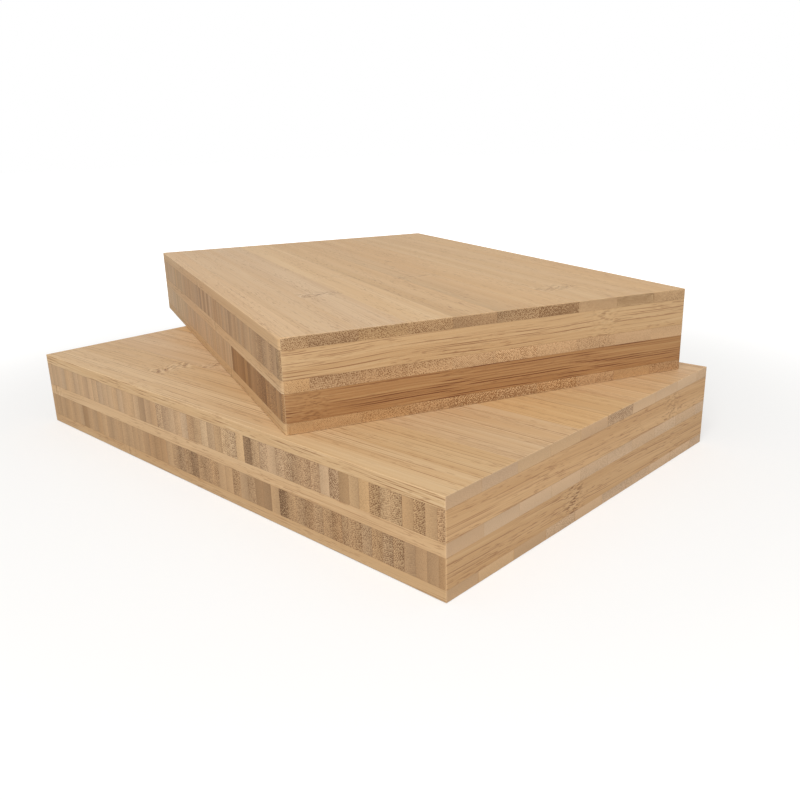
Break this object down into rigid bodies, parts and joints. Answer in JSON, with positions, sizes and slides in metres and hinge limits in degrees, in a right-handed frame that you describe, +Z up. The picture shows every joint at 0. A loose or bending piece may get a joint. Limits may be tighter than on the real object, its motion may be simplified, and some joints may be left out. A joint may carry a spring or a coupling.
{
  "type": "stack of bamboo plywood boards",
  "caption": "Small stack of thick laminated bamboo plywood boards, the upper one laid askew on the lower one, as raw sheet stock or a shelf prop.",
  "frame": {"origin": "middle of the lower board's underside", "axes": "+Z up through the stack, +X along the lower board's 300 mm length, +Y along its 200 mm width"},
  "size_m": [0.3622, 0.3022, 0.08],
  "materials": {
    "flat_strips": "matte",
    "edge_strips": "matte"
  },
  "bodies": {
    "root": {"lower_board_bottom_ply": "flat_strips", "lower_board_lower_cross_ply": "edge_strips", "lower_board_middle_ply": "flat_strips", "lower_board_upper_cross_ply": "edge_strips", "lower_board_top_ply": "flat_strips", "upper_board_bottom_ply": "flat_strips", "upper_board_lower_cross_ply": "edge_strips", "upper_board_middle_ply": "flat_strips", "upper_board_upper_cross_ply": "edge_strips", "upper_board_top_ply": "flat_strips"}
  },
  "joints": []
}
